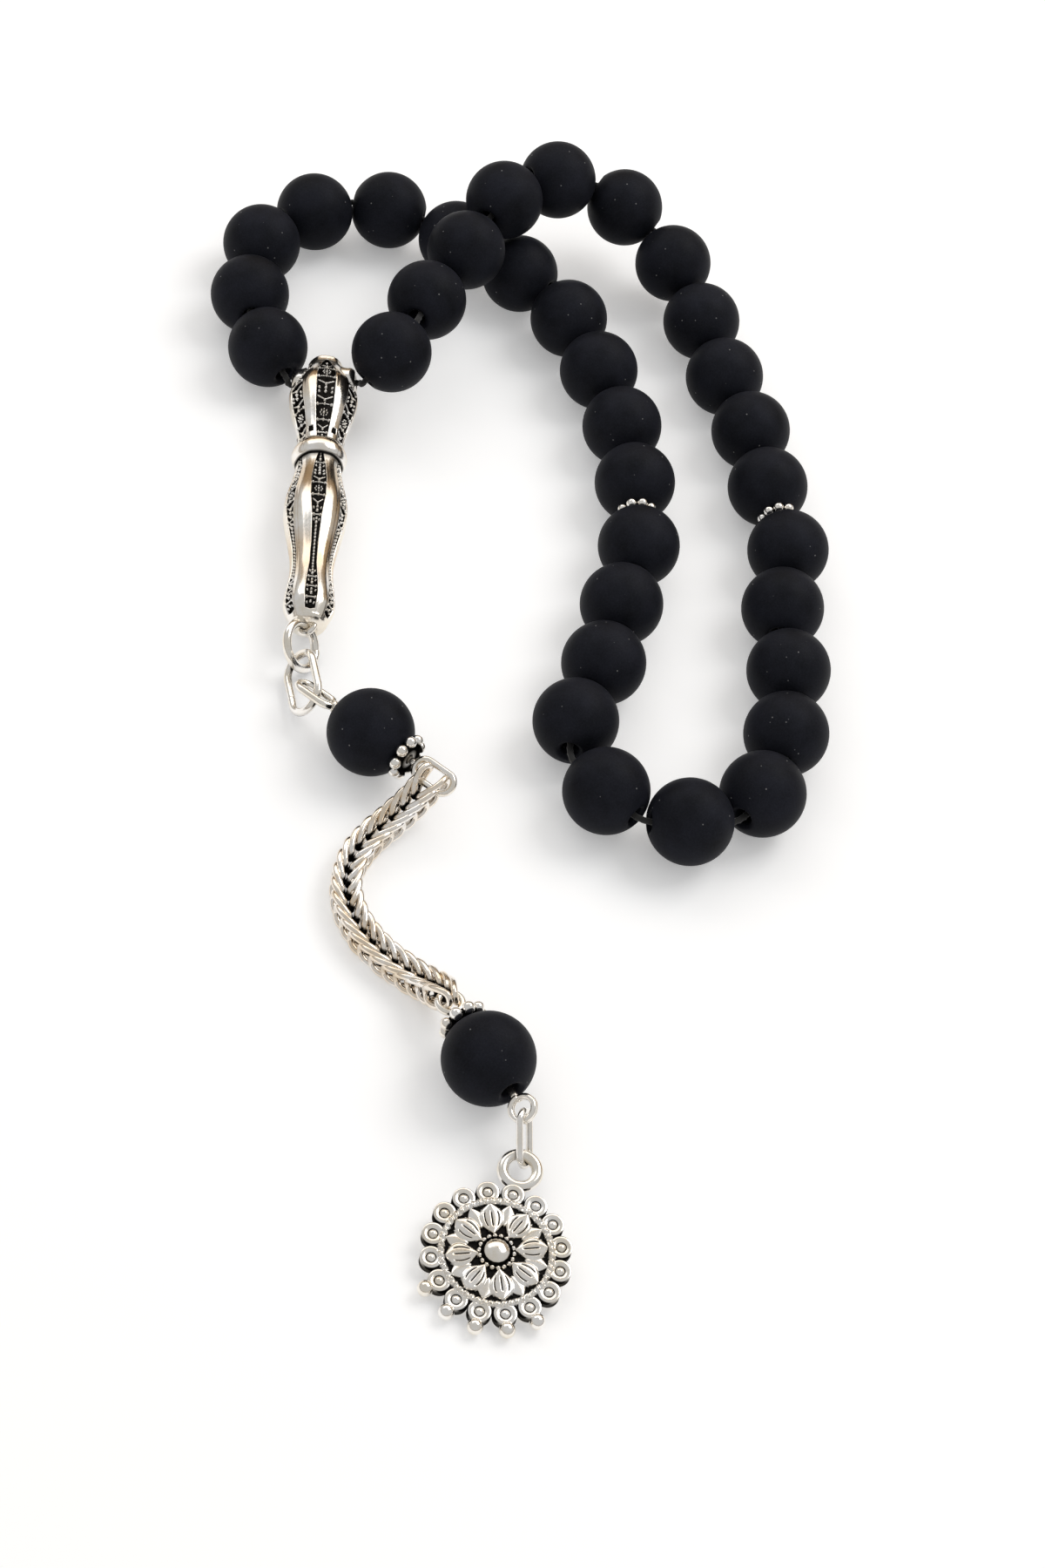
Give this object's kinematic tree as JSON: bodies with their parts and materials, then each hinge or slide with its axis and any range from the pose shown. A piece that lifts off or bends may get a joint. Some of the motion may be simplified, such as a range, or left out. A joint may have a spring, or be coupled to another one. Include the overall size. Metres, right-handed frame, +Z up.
{
  "type": "misbaha prayer beads",
  "caption": "Looped string of round matte black stone beads with a cast silver leader bead and a tail of beads, woven chain and flat medallion; counted through the fingers in prayer.",
  "frame": {"origin": "on the surface that the string lies on, under the middle of the laid string's box", "axes": "X to the right and Y away from the viewer across the surface as laid, Z up; the string is laid with its tail towards -Y"},
  "size_m": [0.0881, 0.1701, 0.0191],
  "materials": {
    "stone": "matt, frosted",
    "silver": "polished antique silver with dark recesses",
    "chain_silver": "polished woven silver wire",
    "cord": "twisted, matt"
  },
  "bodies": {
    "leader_and_cord": {"leader": "silver", "cord": "cord", "cord_knot": "cord"},
    "foot_ring": {"foot_ring": "silver"},
    "link_ring": {"link_ring": "silver"},
    "tail_pin_1": {"tail_pin_1": "silver"},
    "chain_01": {"chain_01": "chain_silver"},
    "chain_02": {"chain_02": "chain_silver"},
    "chain_03": {"chain_03": "chain_silver"},
    "chain_04": {"chain_04": "chain_silver"},
    "chain_05": {"chain_05": "chain_silver"},
    "chain_06": {"chain_06": "chain_silver"},
    "chain_07": {"chain_07": "chain_silver"},
    "chain_08": {"chain_08": "chain_silver"},
    "chain_09": {"chain_09": "chain_silver"},
    "chain_10": {"chain_10": "chain_silver"},
    "chain_11": {"chain_11": "chain_silver"},
    "tail_pin_2": {"tail_pin_2": "silver"},
    "charm_ring": {"charm_ring": "silver"},
    "charm": {"charm": "silver"},
    "tail_bead_1": {"tail_bead_1": "stone"},
    "tail_spacer_1": {"tail_spacer_1": "silver"},
    "tail_bead_2": {"tail_bead_2": "stone"},
    "tail_spacer_2": {"tail_spacer_2": "silver"},
    "spacer_1": {"spacer_1": "silver"},
    "spacer_2": {"spacer_2": "silver"},
    "bead_01": {"bead_01": "stone"},
    "bead_02": {"bead_02": "stone"},
    "bead_03": {"bead_03": "stone"},
    "bead_04": {"bead_04": "stone"},
    "bead_05": {"bead_05": "stone"},
    "bead_06": {"bead_06": "stone"},
    "bead_07": {"bead_07": "stone"},
    "bead_08": {"bead_08": "stone"},
    "bead_09": {"bead_09": "stone"},
    "bead_10": {"bead_10": "stone"},
    "bead_11": {"bead_11": "stone"},
    "bead_12": {"bead_12": "stone"},
    "bead_13": {"bead_13": "stone"},
    "bead_14": {"bead_14": "stone"},
    "bead_15": {"bead_15": "stone"},
    "bead_16": {"bead_16": "stone"},
    "bead_17": {"bead_17": "stone"},
    "bead_18": {"bead_18": "stone"},
    "bead_19": {"bead_19": "stone"},
    "bead_20": {"bead_20": "stone"},
    "bead_21": {"bead_21": "stone"},
    "bead_22": {"bead_22": "stone"},
    "bead_23": {"bead_23": "stone"},
    "bead_24": {"bead_24": "stone"},
    "bead_25": {"bead_25": "stone"},
    "bead_26": {"bead_26": "stone"},
    "bead_27": {"bead_27": "stone"},
    "bead_28": {"bead_28": "stone"},
    "bead_29": {"bead_29": "stone"},
    "bead_30": {"bead_30": "stone"},
    "bead_31": {"bead_31": "stone"},
    "bead_32": {"bead_32": "stone"},
    "bead_33": {"bead_33": "stone"}
  },
  "joints": [
    {"name": "foot_ring_swing", "type": "hinge", "parent": "leader_and_cord", "child": "foot_ring", "pos_m": [-0.01788, -0.00161, 0.00353], "axis": [0.6024, 0.128, -0.7878], "range_deg": [-50, 0]},
    {"name": "link_ring_swing", "type": "hinge", "parent": "foot_ring", "child": "link_ring", "pos_m": [-0.01799, -0.00584, 0.00276], "axis": [0, 0, 1], "range_deg": [-12, 2]},
    {"name": "tail_pin_1_swing", "type": "hinge", "parent": "link_ring", "child": "tail_pin_1", "pos_m": [-0.01435, -0.01227, 0.00453], "axis": [0, 0, 1], "range_deg": [-15, 10]},
    {"name": "chain_01_swing", "type": "hinge", "parent": "tail_pin_1", "child": "chain_01", "pos_m": [0.00055, -0.02166, 0.00485], "axis": [0, 0, 1], "range_deg": [-6, 10]},
    {"name": "chain_02_bend", "type": "hinge", "parent": "chain_01", "child": "chain_02", "pos_m": [-0.00064, -0.02365, 0.00362], "axis": [0, 0, -1], "range_deg": [-8, 8]},
    {"name": "chain_03_bend", "type": "hinge", "parent": "chain_02", "child": "chain_03", "pos_m": [-0.00258, -0.02619, 0.00223], "axis": [0, 0, 1], "range_deg": [-8, 8]},
    {"name": "chain_04_bend", "type": "hinge", "parent": "chain_03", "child": "chain_04", "pos_m": [-0.00444, -0.02907, 0.00161], "axis": [0, 0, -1], "range_deg": [-8, 8]},
    {"name": "chain_05_bend", "type": "hinge", "parent": "chain_04", "child": "chain_05", "pos_m": [-0.00543, -0.03239, 0.00148], "axis": [0, 0, 1], "range_deg": [-8, 8]},
    {"name": "chain_06_bend", "type": "hinge", "parent": "chain_05", "child": "chain_06", "pos_m": [-0.00524, -0.03586, 0.0015], "axis": [0, 0, -1], "range_deg": [-8, 8]},
    {"name": "chain_07_bend", "type": "hinge", "parent": "chain_06", "child": "chain_07", "pos_m": [-0.00395, -0.03909, 0.0015], "axis": [0, 0, 1], "range_deg": [-8, 8]},
    {"name": "chain_08_bend", "type": "hinge", "parent": "chain_07", "child": "chain_08", "pos_m": [-0.00172, -0.04177, 0.0015], "axis": [0, 0, -1], "range_deg": [-8, 8]},
    {"name": "chain_09_bend", "type": "hinge", "parent": "chain_08", "child": "chain_09", "pos_m": [0.00108, -0.04384, 0.00146], "axis": [0, 0, 1], "range_deg": [-8, 8]},
    {"name": "chain_10_bend", "type": "hinge", "parent": "chain_09", "child": "chain_10", "pos_m": [0.00418, -0.04542, 0.00169], "axis": [0, 0, -1], "range_deg": [-8, 8]},
    {"name": "chain_11_bend", "type": "hinge", "parent": "chain_10", "child": "chain_11", "pos_m": [0.00684, -0.04716, 0.00297], "axis": [0, 0, 1], "range_deg": [-8, 8]},
    {"name": "tail_pin_2_swing", "type": "hinge", "parent": "chain_11", "child": "tail_pin_2", "pos_m": [0.00812, -0.04873, 0.00448], "axis": [0, 0, 1], "range_deg": [-15, 12]},
    {"name": "charm_ring_swing", "type": "hinge", "parent": "tail_pin_2", "child": "charm_ring", "pos_m": [0.01905, -0.06131, 0.0054], "axis": [0, 0, 1], "range_deg": [-15, 8]},
    {"name": "charm_lift", "type": "hinge", "parent": "charm_ring", "child": "charm", "pos_m": [0.02014, -0.06466, 0.00257], "axis": [-0.9986, 0.0523, 0], "range_deg": [0, 60]},
    {"name": "tail_bead_1_spin", "type": "hinge", "parent": "tail_pin_1", "child": "tail_bead_1", "pos_m": [-0.00719, -0.01624, 0.005], "axis": [0.8732, -0.484, 0.0575], "continuous": true},
    {"name": "tail_spacer_1_spin", "type": "hinge", "parent": "tail_pin_1", "child": "tail_spacer_1", "pos_m": [-0.0025, -0.01884, 0.00531], "axis": [0.8732, -0.484, 0.0575], "continuous": true},
    {"name": "tail_bead_2_spin", "type": "hinge", "parent": "tail_pin_2", "child": "tail_bead_2", "pos_m": [0.01425, -0.05579, 0.005], "axis": [0.6551, -0.7536, 0.0551], "continuous": true},
    {"name": "tail_spacer_2_spin", "type": "hinge", "parent": "tail_pin_2", "child": "tail_spacer_2", "pos_m": [0.01074, -0.05174, 0.0047], "axis": [0.6551, -0.7536, 0.0551], "continuous": true},
    {"name": "spacer_1_spin", "type": "hinge", "parent": "leader_and_cord", "child": "spacer_1", "pos_m": [0.01644, 0.02855, 0.005], "axis": [0.2044, -0.9789, 0], "continuous": true},
    {"name": "spacer_2_spin", "type": "hinge", "parent": "leader_and_cord", "child": "spacer_2", "pos_m": [0.03357, 0.03386, 0.005], "axis": [-0.3589, 0.9334, 0], "continuous": true},
    {"name": "bead_01_spin", "type": "hinge", "parent": "leader_and_cord", "child": "bead_01", "pos_m": [-0.03349, 0.04171, 0.00506], "axis": [-0.6575, 0.7366, 0.1585], "continuous": true},
    {"name": "bead_02_spin", "type": "hinge", "parent": "leader_and_cord", "child": "bead_02", "pos_m": [-0.03806, 0.05066, 0.005], "axis": [-0.2904, 0.9525, -0.0917], "continuous": true},
    {"name": "bead_03_spin", "type": "hinge", "parent": "leader_and_cord", "child": "bead_03", "pos_m": [-0.03905, 0.06086, 0.005], "axis": [0.175, 0.9836, 0.0435], "continuous": true},
    {"name": "bead_04_spin", "type": "hinge", "parent": "leader_and_cord", "child": "bead_04", "pos_m": [-0.03401, 0.06955, 0.005], "axis": [0.7326, 0.6805, -0.0165], "continuous": true},
    {"name": "bead_05_spin", "type": "hinge", "parent": "leader_and_cord", "child": "bead_05", "pos_m": [-0.02479, 0.07356, 0.005], "axis": [1, 0.0038, 0.0055], "continuous": true},
    {"name": "bead_06_spin", "type": "hinge", "parent": "leader_and_cord", "child": "bead_06", "pos_m": [-0.01506, 0.07108, 0.005], "axis": [0.9189, -0.3945, -0.0014], "continuous": true},
    {"name": "bead_07_spin", "type": "hinge", "parent": "leader_and_cord", "child": "bead_07", "pos_m": [-0.00571, 0.06739, 0.005], "axis": [0.9148, -0.4039, 0.0003], "continuous": true},
    {"name": "bead_08_spin", "type": "hinge", "parent": "leader_and_cord", "child": "bead_08", "pos_m": [0.00206, 0.06102, 0.005], "axis": [0.6002, -0.7998, 0], "continuous": true},
    {"name": "bead_09_spin", "type": "hinge", "parent": "leader_and_cord", "child": "bead_09", "pos_m": [0.00752, 0.05258, 0.005], "axis": [0.4918, -0.8707, 0], "continuous": true},
    {"name": "bead_10_spin", "type": "hinge", "parent": "leader_and_cord", "child": "bead_10", "pos_m": [0.0121, 0.04341, 0.005], "axis": [0.3721, -0.9282, 0], "continuous": true},
    {"name": "bead_11_spin", "type": "hinge", "parent": "leader_and_cord", "child": "bead_11", "pos_m": [0.01532, 0.03389, 0.005], "axis": [0.3163, -0.9486, 0], "continuous": true},
    {"name": "bead_12_spin", "type": "hinge", "parent": "leader_and_cord", "child": "bead_12", "pos_m": [0.01755, 0.02322, 0.005], "axis": [0.0143, -0.9999, 0], "continuous": true},
    {"name": "bead_13_spin", "type": "hinge", "parent": "leader_and_cord", "child": "bead_13", "pos_m": [0.01709, 0.01288, 0.005], "axis": [-0.0036, -1, 0], "continuous": true},
    {"name": "bead_14_spin", "type": "hinge", "parent": "leader_and_cord", "child": "bead_14", "pos_m": [0.01661, 0.00284, 0.005], "axis": [-0.2091, -0.9779, 0], "continuous": true},
    {"name": "bead_15_spin", "type": "hinge", "parent": "leader_and_cord", "child": "bead_15", "pos_m": [0.01499, -0.00708, 0.005], "axis": [0.0157, -0.9999, 0], "continuous": true},
    {"name": "bead_16_spin", "type": "hinge", "parent": "leader_and_cord", "child": "bead_16", "pos_m": [0.02015, -0.01628, 0.005], "axis": [0.8313, -0.5558, 0], "continuous": true},
    {"name": "bead_17_spin", "type": "hinge", "parent": "leader_and_cord", "child": "bead_17", "pos_m": [0.0301, -0.01773, 0.005], "axis": [0.9566, 0.2915, 0], "continuous": true},
    {"name": "bead_18_spin", "type": "hinge", "parent": "leader_and_cord", "child": "bead_18", "pos_m": [0.03761, -0.01105, 0.005], "axis": [0.399, 0.917, 0], "continuous": true},
    {"name": "bead_19_spin", "type": "hinge", "parent": "leader_and_cord", "child": "bead_19", "pos_m": [0.0391, -0.00112, 0.005], "axis": [-0.0317, 0.9995, 0], "continuous": true},
    {"name": "bead_20_spin", "type": "hinge", "parent": "leader_and_cord", "child": "bead_20", "pos_m": [0.03811, 0.00889, 0.005], "axis": [-0.2475, 0.9689, -0.0002], "continuous": true},
    {"name": "bead_21_spin", "type": "hinge", "parent": "leader_and_cord", "child": "bead_21", "pos_m": [0.03613, 0.01874, 0.005], "axis": [-0.0445, 0.999, 0.0007], "continuous": true},
    {"name": "bead_22_spin", "type": "hinge", "parent": "leader_and_cord", "child": "bead_22", "pos_m": [0.03553, 0.02877, 0.005], "axis": [-0.188, 0.9822, -0.0019], "continuous": true},
    {"name": "bead_23_spin", "type": "hinge", "parent": "leader_and_cord", "child": "bead_23", "pos_m": [0.03162, 0.03894, 0.005], "axis": [-0.4212, 0.907, 0.004], "continuous": true},
    {"name": "bead_24_spin", "type": "hinge", "parent": "leader_and_cord", "child": "bead_24", "pos_m": [0.02815, 0.04838, 0.005], "axis": [-0.3546, 0.935, -0.007], "continuous": true},
    {"name": "bead_25_spin", "type": "hinge", "parent": "leader_and_cord", "child": "bead_25", "pos_m": [0.02346, 0.05727, 0.00501], "axis": [-0.5134, 0.8581, 0.0118], "continuous": true},
    {"name": "bead_26_spin", "type": "hinge", "parent": "leader_and_cord", "child": "bead_26", "pos_m": [0.01896, 0.06624, 0.00552], "axis": [-0.4196, 0.9035, 0.0872], "continuous": true},
    {"name": "bead_27_spin", "type": "hinge", "parent": "leader_and_cord", "child": "bead_27", "pos_m": [0.01355, 0.07457, 0.00701], "axis": [-0.625, 0.7517, 0.2105], "continuous": true},
    {"name": "bead_28_spin", "type": "hinge", "parent": "leader_and_cord", "child": "bead_28", "pos_m": [0.00554, 0.07994, 0.00984], "axis": [-0.9174, 0.2295, 0.3252], "continuous": true},
    {"name": "bead_29_spin", "type": "hinge", "parent": "leader_and_cord", "child": "bead_29", "pos_m": [-0.00384, 0.07815, 0.01298], "axis": [-0.798, -0.5491, 0.2484], "continuous": true},
    {"name": "bead_30_spin", "type": "hinge", "parent": "leader_and_cord", "child": "bead_30", "pos_m": [-0.00972, 0.07007, 0.01403], "axis": [-0.293, -0.9553, -0.0395], "continuous": true},
    {"name": "bead_31_spin", "type": "hinge", "parent": "leader_and_cord", "child": "bead_31", "pos_m": [-0.01267, 0.06063, 0.01223], "axis": [-0.3539, -0.8707, -0.3414], "continuous": true},
    {"name": "bead_32_spin", "type": "hinge", "parent": "leader_and_cord", "child": "bead_32", "pos_m": [-0.01565, 0.05116, 0.01068], "axis": [-0.1111, -0.985, 0.1319], "continuous": true},
    {"name": "bead_33_spin", "type": "hinge", "parent": "leader_and_cord", "child": "bead_33", "pos_m": [-0.01796, 0.04146, 0.00946], "axis": [-0.4713, -0.692, -0.5468], "continuous": true}
  ]
}
